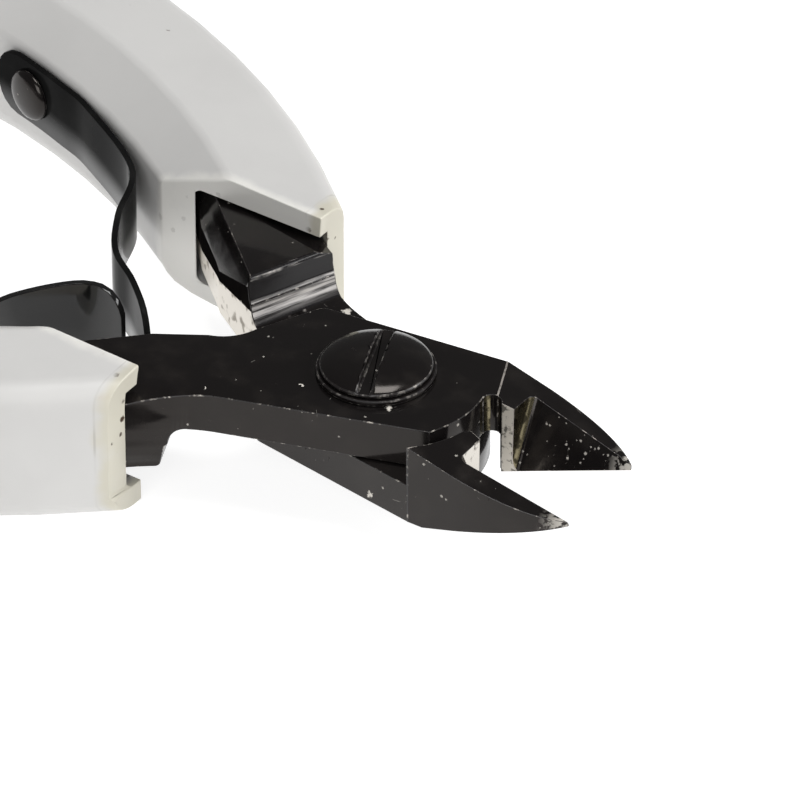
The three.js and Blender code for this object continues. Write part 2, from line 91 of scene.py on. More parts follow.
Material = bpy.types.Material
Piece = bpy.types.Object
Socket = bpy.types.NodeSocket
Value = Socket | float
Colour = tuple[float, float, float]
Triple = tuple[float, float, float]
Span = tuple[float, float]
FaceTest = Callable[[Vector, Vector], bool]
EdgeWeight = Callable[[Vector, Vector, float], float]


class Body(Enum):
    """The two rigid halves that the pivot joins."""

    UPPER = "upper_half"
    LOWER = "lower_half"


class Slot(Enum):
    """Material slots of the part's record."""

    BLACK_STEEL = "black_steel"
    SPRING_STEEL = "spring_steel"
    GRIP_PLASTIC = "grip_plastic"


class LeverLook(IntEnum):
    """A lever's looks, in the order of its materials."""

    OXIDE = 0
    EDGE = 1
    JAW = 2
    THROAT = 3
    STEP = 4
    LAND = 5
    KEEN = 6
    # Black oxide with no reflection, a painted shade on the tang's wall above its ground strip.
    MATTE = 7
    STRIP = 8


def srgb(*levels: int) -> Colour:
    """Linear colour of an 8-bit screen colour, by the sRGB formula.

    Args:
        levels: Red, green and blue from 0 to 255.

    Returns:
        The linear red, green and blue.
    """

    def linear(level: int) -> float:
        """One channel, linear."""
        share = level / 255
        return share / 12.92 if share <= 0.04045 else ((share + 0.055) / 1.055) ** 2.4

    return tuple(linear(level) for level in levels)


class Graph:
    """A node tree with short calls to add nodes and join them."""

    # Sockets of a Mix node that mixes colours.
    FIRST_COLOUR = 6
    SECOND_COLOUR = 7
    MIXED_COLOUR = 2

    def __init__(self, tree: bpy.types.NodeTree) -> None:
        """Keeps the tree."""
        self.tree = tree

    def add(self, kind: str, **settings: object) -> bpy.types.Node:
        """Adds a node.

        Args:
            kind: The node's type name.
            settings: Attributes to set on it.

        Returns:
            The new node.
        """
        node = self.tree.nodes.new(kind)
        for name, value in settings.items():
            setattr(node, name, value)
        return node

    def join(self, source: Socket, target: Socket) -> None:
        """Links an output to an input."""
        self.tree.links.new(source, target)

    def feed(self, target: Socket, value: Value | Colour) -> None:
        """Links a socket to an input, or sets a number or colour on it.

        Args:
            target: The input.
            value: A socket to link, or what to set.
        """
        if isinstance(value, Socket):
            self.join(value, target)
        else:
            target.default_value = (*value, OPAQUE) if isinstance(value, tuple) else value

    def math(self, operation: str, *values: Value) -> Socket:
        """Adds a Math node.

        Args:
            operation: The operation's name.
            values: Numbers or sockets for its inputs, in order.

        Returns:
            Its result.
        """
        node = self.add("ShaderNodeMath", operation=operation)
        for index, value in enumerate(values):
            self.feed(node.inputs[index], value)
        return node.outputs[0]

    def times(self, first: Value, second: Value) -> Socket:
        """The product of two values."""
        return self.math("MULTIPLY", first, second)

    def plus(self, value: Value, share: Value, start: Value) -> Socket:
        """A start value with a share of another value added to it."""
        return self.math("MULTIPLY_ADD", value, share, start)

    def ramp(self, value: Socket, low: Value, high: Value) -> Socket:
        """A smooth step of a value.

        Args:
            value: The value to step.
            low: Where the result is 0.
            high: Where the result is 1.

        Returns:
            The stepped value.
        """
        node = self.add("ShaderNodeMapRange", interpolation_type="SMOOTHSTEP")
        self.join(value, node.inputs["Value"])
        self.feed(node.inputs["From Min"], low)
        self.feed(node.inputs["From Max"], high)
        return node.outputs["Result"]

    def mix(self, share: Value, first: Socket | Colour, second: Socket | Colour) -> Socket:
        """A mix of two colours.

        Args:
            share: How much of the second colour.
            first: A colour or socket.
            second: A colour or socket.

        Returns:
            The mixed colour.
        """
        node = self.add("ShaderNodeMix", data_type="RGBA")
        self.feed(node.inputs["Factor"], share)
        self.feed(node.inputs[self.FIRST_COLOUR], first)
        self.feed(node.inputs[self.SECOND_COLOUR], second)
        return node.outputs[self.MIXED_COLOUR]

    def noise(self, place: Socket, cells: Value, octaves: float = 2.0) -> Socket:
        """Noise from 0 to 1.

        Args:
            place: The coordinates.
            cells: Cells per metre.
            octaves: Octaves of detail.

        Returns:
            The noise value.
        """
        node = self.add("ShaderNodeTexNoise")
        self.join(place, node.inputs["Vector"])
        self.feed(node.inputs["Scale"], cells)
        node.inputs["Detail"].default_value = octaves
        return node.outputs["Fac"]

    def turned(self, place: Socket, angle: float, stretch: Triple) -> Socket:
        """Coordinates turned about Z, so that a pattern runs along a direction and is stretched there.

        Args:
            place: The coordinates.
            angle: The direction's angle from X, in radians.
            stretch: How much longer the pattern gets along the direction, across it and upwards.

        Returns:
            The new coordinates.
        """
        node = self.add("ShaderNodeMapping", vector_type="TEXTURE")
        self.join(place, node.inputs["Vector"])
        node.inputs["Rotation"].default_value = (0, 0, angle)
        node.inputs["Scale"].default_value = stretch
        return node.outputs["Vector"]


class Skin(Graph):
    """A material being made: its tree, its shader and its coordinates."""

    def __init__(self, name: str) -> None:
        """Makes an empty material with a Principled shader.

        Args:
            name: The material's name.
        """
        self.material = bpy.data.materials.new(name)
        self.material.use_nodes = True
        super().__init__(self.material.node_tree)
        self.shader = self.tree.nodes["Principled BSDF"]
        self.place = self.add("ShaderNodeTexCoord").outputs["Object"]
        axes = self.add("ShaderNodeSeparateXYZ")
        self.join(self.place, axes.inputs[0])
        self.x, self.y, self.z = axes.outputs

    def set(self, **sockets: Value | Colour) -> None:
        """Sets or links inputs of the shader, named with underscores for spaces."""
        for name, value in sockets.items():
            self.feed(self.shader.inputs[name.replace("_", " ")], value)

    def relief(self, height: Socket, depth: float) -> None:
        """Gives the shader a bump.

        Args:
            height: The height from 0 to 1.
            depth: What a height of 1 is, in metres.
        """
        bump = self.add("ShaderNodeBump")
        bump.inputs["Distance"].default_value = depth
        self.join(height, bump.inputs["Height"])
        self.join(bump.outputs["Normal"], self.shader.inputs["Normal"])


@dataclass(frozen=True)
class Effect:
    """A mask that finishes share: a node group built once, and placed with each finish's own values."""

    cells: float

    @classmethod
    def draw(cls, graph: Graph, inputs: dict[str, Socket]) -> Socket:
        """Draws the mask in the group; each effect has its own way."""
        raise NotImplementedError

    @classmethod
    @cache
    def group(cls) -> bpy.types.NodeTree:
        """The effect's node group, with the place and the effect's fields as inputs.

        Returns:
            The group, which is built at the first call only.
        """
        tree = bpy.data.node_groups.new(cls.__name__.lower(), "ShaderNodeTree")
        tree.interface.new_socket("Place", in_out="INPUT", socket_type="NodeSocketVector")
        for item in fields(cls):
            tree.interface.new_socket(item.name.capitalize(), in_out="INPUT", socket_type="NodeSocketFloat")
        tree.interface.new_socket("Mask", in_out="OUTPUT", socket_type="NodeSocketFloat")
        graph = Graph(tree)
        inputs = {socket.name: socket for socket in graph.add("NodeGroupInput").outputs}
        outlet = graph.add("NodeGroupOutput")
        graph.join(cls.draw(graph, inputs), outlet.inputs["Mask"])
        return tree

    def mask(self, skin: Skin, **changed: Value) -> Socket:
        """Places the effect in a material.

        Args:
            skin: The material.
            changed: Numbers or sockets that take the place of the effect's own, by field name.

        Returns:
            The mask from 0 to 1.
        """
        node = skin.add("ShaderNodeGroup", node_tree=self.group())
        skin.join(skin.place, node.inputs["Place"])
        for item in fields(self):
            value = changed.get(item.name, getattr(self, item.name))
            skin.feed(node.inputs[item.name.capitalize()], value)
        return node.outputs["Mask"]


@dataclass(frozen=True)
class Specks(Effect):
    """Sparse ragged chips and dust: a spot in a share of the cells."""

    radius: float
    ragged: float
    share: float = 1.0

    # Ripples of an outline per cell, the smallest spot's size, and a spot's solid share.
    RIPPLES = 9.0
    SMALLEST = 0.2
    CORE = 0.6

    @classmethod
    def draw(cls, graph: Graph, inputs: dict[str, Socket]) -> Socket:
        """Draws spots of many sizes, most of them small, in a place shaken by a fine noise.

        Args:
            graph: The group's graph.
            inputs: The group's inputs by name.

        Returns:
            The mask.
        """
        wobble = graph.add("ShaderNodeTexNoise")
        graph.join(inputs["Place"], wobble.inputs["Vector"])
        graph.join(graph.times(inputs["Cells"], cls.RIPPLES), wobble.inputs["Scale"])
        centred = graph.add("ShaderNodeVectorMath", operation="SUBTRACT")
        graph.join(wobble.outputs["Color"], centred.inputs[0])
        centred.inputs[1].default_value = (MID_NOISE,) * 3
        spread = graph.add("ShaderNodeVectorMath", operation="SCALE")
        graph.join(centred.outputs[0], spread.inputs[0])
        graph.join(graph.math("DIVIDE", inputs["Ragged"], inputs["Cells"]), spread.inputs["Scale"])
        moved = graph.add("ShaderNodeVectorMath", operation="ADD")
        graph.join(inputs["Place"], moved.inputs[0])
        graph.join(spread.outputs[0], moved.inputs[1])
        cells = graph.add("ShaderNodeTexVoronoi", feature="F1")
        graph.join(moved.outputs[0], cells.inputs["Vector"])
        graph.join(inputs["Cells"], cells.inputs["Scale"])
        chance = graph.add("ShaderNodeSeparateColor")
        graph.join(cells.outputs["Color"], chance.inputs[0])
        squared = graph.math("POWER", chance.outputs[1], 2.0)
        reach = graph.times(inputs["Radius"], graph.plus(squared, 1 - cls.SMALLEST, cls.SMALLEST))
        near = graph.ramp(cells.outputs["Distance"], reach, graph.times(reach, cls.CORE))
        return graph.times(near, graph.math("LESS_THAN", chance.outputs[0], inputs["Share"]))


@dataclass(frozen=True)
class Scratches(Effect):
    """Short thin curved scratches: broken contour lines of a soft noise."""

    width: float
    share: float

    # Cells of the breaking noise per cell, and its softness.
    BREAKS = 2.3
    FADE = 0.05

    @classmethod
    def draw(cls, graph: Graph, inputs: dict[str, Socket]) -> Socket:
        """Draws the contour lines and breaks them by a finer noise.

        Args:
            graph: The group's graph.
            inputs: The group's inputs by name.

        Returns:
            The mask.
        """
        level = graph.noise(inputs["Place"], inputs["Cells"], octaves=1.0)
        away = graph.math("ABSOLUTE", graph.math("SUBTRACT", level, MID_NOISE))
        line = graph.ramp(away, inputs["Width"], 0.0)
        breaks = graph.noise(inputs["Place"], graph.times(inputs["Cells"], cls.BREAKS), octaves=3.0)
        kept = graph.ramp(breaks, inputs["Share"], graph.math("ADD", inputs["Share"], cls.FADE))
        return graph.times(line, kept)


@dataclass(frozen=True)
class Patches(Effect):
    """Uneven patches of rubbed or stained surface, between two levels of a noise."""

    start: float
    end: float

    @classmethod
    def draw(cls, graph: Graph, inputs: dict[str, Socket]) -> Socket:
        """Draws the patches."""
        level = graph.noise(inputs["Place"], inputs["Cells"], octaves=5.0)
        return graph.ramp(level, inputs["Start"], inputs["End"])


@dataclass(frozen=True)
class Finish:
    """A look that can be made into a material."""

    name: str

    def dress(self, skin: Skin) -> None:
        """Sets and links the shader of a material; each finish has its own way."""
        raise NotImplementedError

    def material(self) -> Material:
        """Builds the material.

        Returns:
            The material.
        """
        skin = Skin(self.name)
        self.dress(skin)
        return skin.material


@dataclass(frozen=True)
class BlackOxide(Finish):
    """Glossy blackened steel with dust, chips and hair scratches, chipped more towards the jaw tips."""

    name: str = "black_oxide"
    dark: Colour = srgb(19, 17, 17)
    rubbed: Colour = srgb(36, 33, 31)
    chip: Colour = srgb(214, 209, 200)
    tint: Colour = (1.0, 0.92, 0.86)
    gloss: float = 0.34
    roughness: float = 0.13
    rub: Patches = Patches(cells=420.0, start=0.45, end=0.75)
    rub_strength: float = 0.5
    rub_dulling: float = 0.12
    hairs: Scratches = Scratches(cells=330.0, width=0.004, share=0.64)
    hair_strength: float = 0.3
    pits: Specks = Specks(cells=430.0, radius=0.13, ragged=0.2, share=0.7)
    pit_dulling: float = 0.5
    flecks: Specks = Specks(cells=360.0, radius=0.15, ragged=0.3)
    fleck_share: float = 0.4
    fine: Specks = Specks(cells=2900.0, radius=0.4, ragged=0.5)
    fine_share: float = 0.03
    fine_strength: float = 0.55
    tip_share: float = 0.0
    tip_x: Span = (59 * MM, 67.5 * MM)
    wear: Patches = Patches(cells=2300.0, start=0.44, end=0.54)
    wear_strength: float = 0.7
    wear_x: Span = (66.2 * MM, 68 * MM)
    grain_cells: float = 7000.0
    grain_share: float = 0.001
    shoulder_x: Span = (38.5 * MM, 42.5 * MM)
    shoulder_out: Span = (39 * MM, 41 * MM)
    shoulder_z: Span = (5.2 * MM, 9.1 * MM)
    shoulder_depth: float = 1.5 * MM
    shoulder_dulling: float = 0.2
    tang_slope: float = 0.85
    streak_cells: float = 800.0
    streak_stretch: Triple = (9.0, 9.0, 1.0)
    streak_share: float = 0.35

    def dress(self, skin: Skin) -> None:
        """Links a rubbed black with its marks, and a bump for the grain and the worn shoulder.

        Args:
            skin: The material.
        """
        rub = self.rub.mask(skin)
        colour = skin.mix(skin.times(rub, self.rub_strength), self.dark, self.rubbed)
        hairs = skin.times(self.hairs.mask(skin), self.hair_strength)
        colour = skin.mix(hairs, colour, self.chip)
        rough = skin.plus(rub, self.rub_dulling, self.roughness)
        rough = skin.plus(self.pits.mask(skin), self.pit_dulling, rough)
        fallen = self.shoulder(skin)
        skin.set(
            Base_Color=skin.mix(self.bare_marks(skin), colour, self.chip),
            Roughness=skin.plus(fallen, self.shoulder_dulling, rough),
            Specular_IOR_Level=self.gloss,
            Specular_Tint=self.tint,
        )
        grain = skin.noise(skin.place, self.grain_cells)
        skin.relief(skin.plus(grain, self.grain_share, fallen), self.shoulder_depth)

    def bare_marks(self, skin: Skin) -> Socket:
        """Where bare steel shows: dust flecks, fine chips, and wear at the jaw tips.

        Args:
            skin: The material.

        Returns:
            The mask from 0 to 1.
        """
        share = skin.plus(skin.ramp(skin.x, *self.tip_x), self.tip_share, self.fine_share)
        fine = skin.times(self.fine.mask(skin, share=share), self.fine_strength)
        worn = skin.times(self.wear.mask(skin), skin.ramp(skin.x, *self.wear_x))
        marks = skin.math("MAXIMUM", self.flecks.mask(skin, share=self.fleck_share), fine)
        return skin.math("MAXIMUM", marks, skin.times(worn, self.wear_strength))

    def shoulder(self, skin: Skin) -> Socket:
        """The worn, rounded upper part of a tang's sides beside its grip.

        Args:
            skin: The material.

        Returns:
            Its height from 0 to 1.
        """
        fade, end = self.shoulder_x
        low, top = self.shoulder_z
        across = skin.plus(skin.x, self.tang_slope, skin.math("ABSOLUTE", skin.y))
        outside = skin.ramp(across, *self.shoulder_out)
        near = skin.times(outside, skin.ramp(skin.x, end, fade))
        fallen = skin.times(near, skin.ramp(skin.z, top, low))
        stretched = skin.turned(skin.place, 0.0, self.streak_stretch)
        streaks = skin.noise(stretched, self.streak_cells, octaves=1.0)
        return skin.times(fallen, skin.plus(streaks, self.streak_share, 1 - self.streak_share))


@dataclass(frozen=True)
class WornEdge(Finish):
    """The rubbed-through edge of a blackened piece: bare metal in a broken line."""

    name: str = "worn_edge"
    dark: Colour = srgb(34, 31, 31)
    bare: Colour = srgb(176, 170, 162)
    cells: float = 2600.0
    start: float = 0.53
    end: float = 0.7
    roughness: float = 0.3
    dulling: float = 0.12
    metallic: float = 0.5
    gloss: float = 0.38

    def dress(self, skin: Skin) -> None:
        """Links the broken line of bare metal.

        Args:
            skin: The material.
        """
        worn = Patches(self.cells, self.start, self.end).mask(skin)
        skin.set(
            Base_Color=skin.mix(worn, self.dark, self.bare),
            Roughness=skin.plus(worn, self.dulling, self.roughness),
            Metallic=skin.times(worn, self.metallic),
            Specular_IOR_Level=self.gloss,
        )


@dataclass(frozen=True)
class BareSteel(Finish):
    """Ground bare steel with stains, in the throat, on the cutting lands and along the tang."""

    name: str = "bare_steel"
    bright: Colour = srgb(205, 200, 192)
    stain: Colour = srgb(70, 62, 52)
    roughness: float = 0.16
    metallic: float = 1.0
    stain_cells: float = 1100.0
    stain_start: float = 0.55
    stain_fade: float = 0.12
    stain_strength: float = 0.8
    stain_dulling: float = 0.25
    grind_cells: float = 9000.0
    grind_turn: float = 0.2
    grind_stretch: Triple = (1.0, 1.0, 20.0)
    grind_depth: float = 3e-6

    def dress(self, skin: Skin) -> None:
        """Links the stained steel and its grinding lines.

        Args:
            skin: The material.
        """
        stains = Patches(self.stain_cells, self.stain_start, self.stain_start + self.stain_fade).mask(skin)
        skin.set(
            Base_Color=skin.mix(skin.times(stains, self.stain_strength), self.bright, self.stain),
            Roughness=skin.plus(stains, self.stain_dulling, self.roughness),
            Metallic=self.metallic,
        )
        stretched = skin.turned(skin.place, self.grind_turn, self.grind_stretch)
        skin.relief(skin.noise(stretched, self.grind_cells), self.grind_depth)


@dataclass(frozen=True)
class Burnished(Finish):
    """The lap step: a worn ridge, a black wall, rough lines on its ledge, and a fillet with brushed streaks
    that are painted bright as a painted highlight.
    """

    name: str = "burnished_step"
    turn: float = 0.0
    dark: Colour = srgb(22, 20, 21)
    # Painted highlight: the bright colour of the fillet's brushed streaks.
    satin: Colour = srgb(190, 186, 183)
    bright: Colour = srgb(205, 200, 194)
    ridge_z: float = 8.65 * MM
    ridge_fade: float = 0.24 * MM
    ledge_z: float = 7.4 * MM
    ledge_fade: float = 0.12 * MM
    ledge_end: Span = (0.36 * MM, 0.72 * MM)
    root_z: float = 6.1 * MM
    root_fade: float = 0.48 * MM
    line_cells: float = 5200.0
    line_stretch: Triple = (18.0, 1.0, 1.0)
    line_depth: float = 5e-6
    streak_levels: Span = (0.5, 0.68)
    satin_levels: Span = (0.3, 0.75)
    breaks: Patches = Patches(cells=900.0, start=0.36, end=0.6)
    roughness: float = 0.2
    dulling: float = 0.25
    metallic: float = 0.4
    gloss: float = 0.34

    def flipped(self) -> Burnished:
        """The same step on a lever that lies the other way up."""
        middle = 2 * self.root_z
        return replace(self, ridge_z=middle - self.ridge_z, ledge_z=middle - self.ledge_z)

    def dress(self, skin: Skin) -> None:
        """Links the step's bands, told by their height, and the lines that run along it.

        Args:
            skin: The material.
        """
        up = math.copysign(1, self.ridge_z - self.root_z)
        fade, (full, gone) = up * self.ledge_fade, self.ledge_end
        fine = skin.noise(skin.turned(skin.place, self.turn, self.line_stretch), self.line_cells, 3.0)
        ridge = skin.ramp(skin.z, self.ridge_z, self.ridge_z + up * self.ridge_fade)
        below = skin.ramp(skin.z, self.ledge_z + fade, self.ledge_z - fade)
        above_end = skin.ramp(skin.z, self.ledge_z - up * gone, self.ledge_z - up * full)
        ledge = skin.times(below, above_end)
        fillet = skin.times(below, skin.ramp(skin.z, self.root_z, self.root_z + up * self.root_fade))
        rough = skin.times(skin.math("MAXIMUM", ledge, ridge), skin.ramp(fine, *self.streak_levels))
        worn = skin.times(rough, self.breaks.mask(skin))
        # The fillet's brushed streaks, painted bright as a painted highlight of the light the fillet
        # reflects.
        satin = skin.times(fillet, skin.ramp(fine, *self.satin_levels))
        colour = skin.mix(satin, self.dark, self.satin)
        skin.set(
            Base_Color=skin.mix(worn, colour, self.bright),
            Roughness=skin.plus(satin, self.dulling, self.roughness),
            Metallic=skin.times(worn, self.metallic),
            Specular_IOR_Level=self.gloss,
        )
        skin.relief(fine, self.line_depth)


@dataclass(frozen=True)
class SpringBlack(Finish):
    """Blackened spring strip: smooth and glossy."""

    name: str = "spring_black"
    dark: Colour = srgb(20, 20, 20)
    smear: Colour = srgb(46, 46, 45)
    rub: Patches = Patches(cells=260.0, start=0.4, end=0.8)
    rub_strength: float = 0.4
    rub_dulling: float = 0.1
    roughness: float = 0.08
    sheen: float = 1.5
    gloss_z: float = 0.0
    gloss_fade: float = 2 * MM

    def dress(self, skin: Skin) -> None:
        """Links a smeared black with a coat below its glossy height.

        Args:
            skin: The material.
        """
        rub = self.rub.mask(skin)
        skin.set(
            Base_Color=skin.mix(skin.times(rub, self.rub_strength), self.dark, self.smear),
            Roughness=skin.plus(rub, self.rub_dulling, self.roughness),
            IOR=self.sheen,
            Coat_Weight=skin.ramp(skin.z, self.gloss_z + self.gloss_fade, self.gloss_z),
        )


@dataclass(frozen=True)
class GripPlastic(Finish):
    """Pale hard plastic, yellowed and specked along the rim of the mouth, with its faces round the mouth
    painted lighter as painted light.
    """

    name: str = "grip_plastic"
    pale: Colour = srgb(206, 205, 203)
    shade: Colour = srgb(200, 199, 197)
    # Painted light: the lighter tone painted on the faces round the mouth.
    clean: Colour = srgb(230, 229, 226)
    rim: Colour = srgb(198, 193, 174)
    collar: Colour = srgb(164, 161, 154)
    stain: Colour = srgb(172, 138, 96)
    dirt: Colour = srgb(62, 44, 26)
    roughness: float = 0.42
    dulling: float = 0.1
    gloss: float = 0.4
    grain_cells: float = 2500.0
    grain_depth: float = 4e-6
    cloud: Patches = Patches(cells=90.0, start=0.35, end=0.7)
    wobble_cells: float = 500.0
    wobble_width: float = 1.2 * MM
    mouth_y: Span = (11.04 * MM, 10.2 * MM)
    mouth_strength: float = 0.2
    front_x: Span = (37.6 * MM, 38.44 * MM)
    rim_strength: float = 0.75
    collar_x: float = 37.8 * MM
    collar_reach: Span = (0.09 * MM, 0.03 * MM)
    collar_cells: float = 260.0
    collar_levels: Span = (0.4, 0.9)
    corner_y: Span = (13 * MM, 14 * MM)
    corner_z: Span = (9.7 * MM, 10.5 * MM)
    blotch: Patches = Patches(cells=700.0, start=0.42, end=0.6)
    rim_spots: Specks = Specks(cells=950.0, radius=0.4, ragged=0.25, share=0.6)
    few_spots: Specks = Specks(cells=520.0, radius=0.12, ragged=0.2, share=0.5)
    few_strength: float = 0.7

    def dress(self, skin: Skin) -> None:
        """Links the clouded plastic, the painted light that makes the faces round the mouth lighter, its
        yellowed rim, the collar line, the corner stain and the dirt.

        Args:
            skin: The material.
        """
        shake = skin.noise(skin.place, self.wobble_cells, octaves=3.0)
        wobble = skin.times(skin.math("SUBTRACT", shake, MID_NOISE), self.wobble_width)
        side = skin.math("ADD", skin.math("ABSOLUTE", skin.y), wobble)
        front = skin.math("ADD", skin.x, wobble)
        by_mouth = skin.ramp(side, *self.mouth_y)
        by_front = skin.ramp(front, *self.front_x)
        rim = skin.math("MAXIMUM", skin.times(by_mouth, self.mouth_strength), by_front)
        cloud = self.cloud.mask(skin)
        colour = skin.mix(cloud, self.pale, self.shade)
        # Painted light: the faces round the mouth are painted lighter, as if more light fell there.
        colour = skin.mix(by_mouth, colour, self.clean)
        colour = skin.mix(skin.times(rim, self.rim_strength), colour, self.rim)
        colour = skin.mix(self.collar_line(skin), colour, self.collar)
        high = skin.ramp(skin.z, *self.corner_z)
        corner = skin.times(by_front, skin.times(high, skin.ramp(side, *self.corner_y)))
        colour = skin.mix(skin.times(corner, self.blotch.mask(skin)), colour, self.stain)
        spots = skin.times(self.rim_spots.mask(skin), rim)
        few = skin.times(self.few_spots.mask(skin), self.few_strength)
        skin.set(
            Base_Color=skin.mix(skin.math("MAXIMUM", spots, few), colour, self.dirt),
            Roughness=skin.plus(cloud, self.dulling, self.roughness),
            Specular_IOR_Level=self.gloss,
        )
        skin.relief(skin.noise(skin.place, self.grain_cells), self.grain_depth)

    def collar_line(self, skin: Skin) -> Socket:
        """The faint, uneven line round the grip just behind its front.

        Args:
            skin: The material.

        Returns:
            The mask from 0 to 1.
        """
        beside = skin.math("ABSOLUTE", skin.math("SUBTRACT", skin.x, self.collar_x))
        line = skin.ramp(beside, *self.collar_reach)
        uneven = skin.ramp(skin.noise(skin.place, self.collar_cells), *self.collar_levels)
        return skin.times(line, uneven)


@dataclass(frozen=True)
class Paper(Finish):
    """White paper lit from below, for the floor."""

    name: str = "floor_paper"
    grey: Colour = (0.4, 0.4, 0.4)
    roughness: float = 0.9
    gloss: float = 0.1
    glow: Colour = (1.0, 1.0, 1.0)
    glow_strength: float = 0.85

    def dress(self, skin: Skin) -> None:
        """Sets a dull grey and its glow."""
        skin.set(Base_Color=self.grey, Roughness=self.roughness, Specular_IOR_Level=self.gloss)
        skin.set(Emission_Color=self.glow, Emission_Strength=self.glow_strength)


def made(finish: Finish) -> Material:
    """A field that holds the material of a finish."""
    return field(default_factory=finish.material)


@dataclass
class Workshop:
    """Materials of the part, made once."""

    oxide: Material = made(BlackOxide())
    jaw: Material = made(BlackOxide("jaw_bevel", fleck_share=0.0, fine_share=0.18, tip_share=0.8))
    screw: Material = made(BlackOxide("screw_black", fleck_share=0.1, fine_share=0.02))
    # Painted shade: black oxide with no reflection, so that the tang's wall above its ground strip shows
    # dark.
    matte: Material = made(BlackOxide("painted_shade_black", gloss=0.0, fleck_share=0.2))
    edge: Material = made(WornEdge())
    quiet_edge: Material = made(WornEdge("rubbed_edge", bare=srgb(136, 132, 127), start=0.5))
    keen: Material = made(WornEdge("keen_edge", bare=srgb(178, 171, 164), start=0.24, end=0.44))
    bare: Material = made(BareSteel())
    # Painted shade: a darker, olive copy of the bare steel for the upper lever's throat and end wall, which
    # face the dark lower jaw.
    tempered: Material = made(
        BareSteel("throat_painted_shade", srgb(126, 118, 94), srgb(36, 32, 26), roughness=0.24, stain_start=0.48)
    )
    land: Material = made(
        BareSteel(
            "ground_land",
            srgb(196, 190, 179),
            srgb(40, 35, 29),
            roughness=0.5,
            metallic=0.35,
            stain_cells=2400.0,
            stain_start=0.5,
        )
    )
    strip: Material = made(BareSteel("ground_strip", srgb(216, 210, 200), srgb(150, 143, 132), roughness=0.3))
    spring: Material = made(SpringBlack())
    dull_spring: Material = made(SpringBlack("spring_dull_black", sheen=1.06, gloss_z=4 * MM))
    plastic: Material = made(GripPlastic())


def make_active(obj: Piece) -> None:
    """Selects one object only and makes it active.

    Args:
        obj: The object.
    """
    bpy.ops.object.select_all(action="DESELECT")
    obj.select_set(True)
    bpy.context.view_layer.objects.active = obj


def stand_in(node: Piece, name: str) -> Piece:
    """A copy of a CAD solid that replaces it, as clean faces: joined corners, and one face for each flat.

    Args:
        node: The CAD node's object.
        name: The node's name.

    Returns:
        The copy, with no parent.
    """
    make_active(node)
    bpy.ops.object.duplicate()
    copy = bpy.context.view_layer.objects.active
    copy.name = copy.data.name = f"{name}_dressed"
    copy.parent = None
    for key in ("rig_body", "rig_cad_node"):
        del copy[key]
    copy.data.materials.clear()
    bpy.ops.object.mode_set(mode="EDIT")
    bpy.ops.mesh.select_all(action="SELECT")
    bpy.ops.mesh.customdata_custom_splitnormals_clear()
    bpy.ops.mesh.remove_doubles(threshold=MERGE_DISTANCE)
    bpy.ops.mesh.dissolve_limited(angle_limit=FLAT_ANGLE)
    bpy.ops.object.mode_set(mode="OBJECT")
    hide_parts(name)
    LOG.info("%s stands for %s", copy.name, name)
    return copy


def weigh_edges(obj: Piece, weight: EdgeWeight) -> None:
    """Says how much of the rounding each edge of a piece gets.

    Args:
        obj: The piece.
        weight: Gives the share from 0 to 1 from an edge's two ends and its angle in degrees.
    """
    mesh = obj.data
    sides: dict[tuple[int, int], list[Vector]] = {}
    for face in mesh.polygons:
        for key in face.edge_keys:
            sides.setdefault(key, []).append(face.normal)
    layer = mesh.attributes.new("bevel_weight_edge", "FLOAT", "EDGE")
    for edge in mesh.edges:
        normals = sides[edge.key]
        angle = math.degrees(normals[0].angle(normals[1])) if len(normals) == 2 else 0.0
        first, second = (mesh.vertices[index].co for index in edge.vertices)
        layer.data[edge.index].value = weight(first, second, angle)


def sharper_than(limit: float) -> EdgeWeight:
    """A weight that rounds every edge over an angle in degrees."""
    return lambda first, second, angle: 1.0 if angle > limit else 0.0


def round_edges(
    obj: Piece,
    width: float,
    weight: EdgeWeight,
    edge_slot: int = NEIGHBOURS,
    segments: int = 2,
) -> None:
    """Rounds chosen edges of a piece and shades it smooth, with flats left flat.

    Args:
        obj: The piece.
        width: Width of the rounding.
        weight: The share of the width that an edge gets.
        edge_slot: Material slot of the new faces, their neighbours' unless said.
        segments: Faces across the rounding.
    """
    weigh_edges(obj, weight)
    make_active(obj)
    bevel = obj.modifiers.new("edge", "BEVEL")
    bevel.offset_type = "OFFSET"
    bevel.width = width
    bevel.segments = segments
    bevel.limit_method = "WEIGHT"
    bevel.material = edge_slot
    bevel.use_clamp_overlap = False
    bpy.ops.object.modifier_apply(modifier=bevel.name)
    bpy.ops.object.shade_smooth_by_angle(angle=SMOOTH_ANGLE)
    flat = obj.modifiers.new("flat", "WEIGHTED_NORMAL")
    flat.keep_sharp = True
    flat.weight = FLAT_WEIGHT
    bpy.ops.object.modifier_apply(modifier=flat.name)


def blacken(obj: Piece, shop: Workshop, width: float, limit: float) -> None:
    """Dresses a screw, rivet or washer: black, with its sharp edges rounded and rubbed.

    Args:
        obj: The piece.
        shop: The materials.
        width: Width of the rounding.
        limit: The angle in degrees over which an edge is rounded.
    """
    obj.data.materials.append(shop.screw)
    obj.data.materials.append(shop.quiet_edge)
    round_edges(obj, width, sharper_than(limit), edge_slot=RUBBED_SLOT)


def paint(obj: Piece, slot: int, test: FaceTest, among: int | None = None) -> None:
    """Gives a material slot to the faces that a test picks.

    Args:
        obj: The piece.
        slot: The slot's index.
        test: Says of a face's centre and normal whether it is picked.
        among: The only slot whose faces may change, or None for any.
    """
    for face in obj.data.polygons:
        may_change = among is None or face.material_index == among
        if may_change and test(face.center.copy(), face.normal.copy()):
            face.material_index = slot


def over(low: float) -> Span:
    """Everything over a value."""
    return low, math.inf


def under(high: float) -> Span:
    """Everything under a value."""
    return -math.inf, high


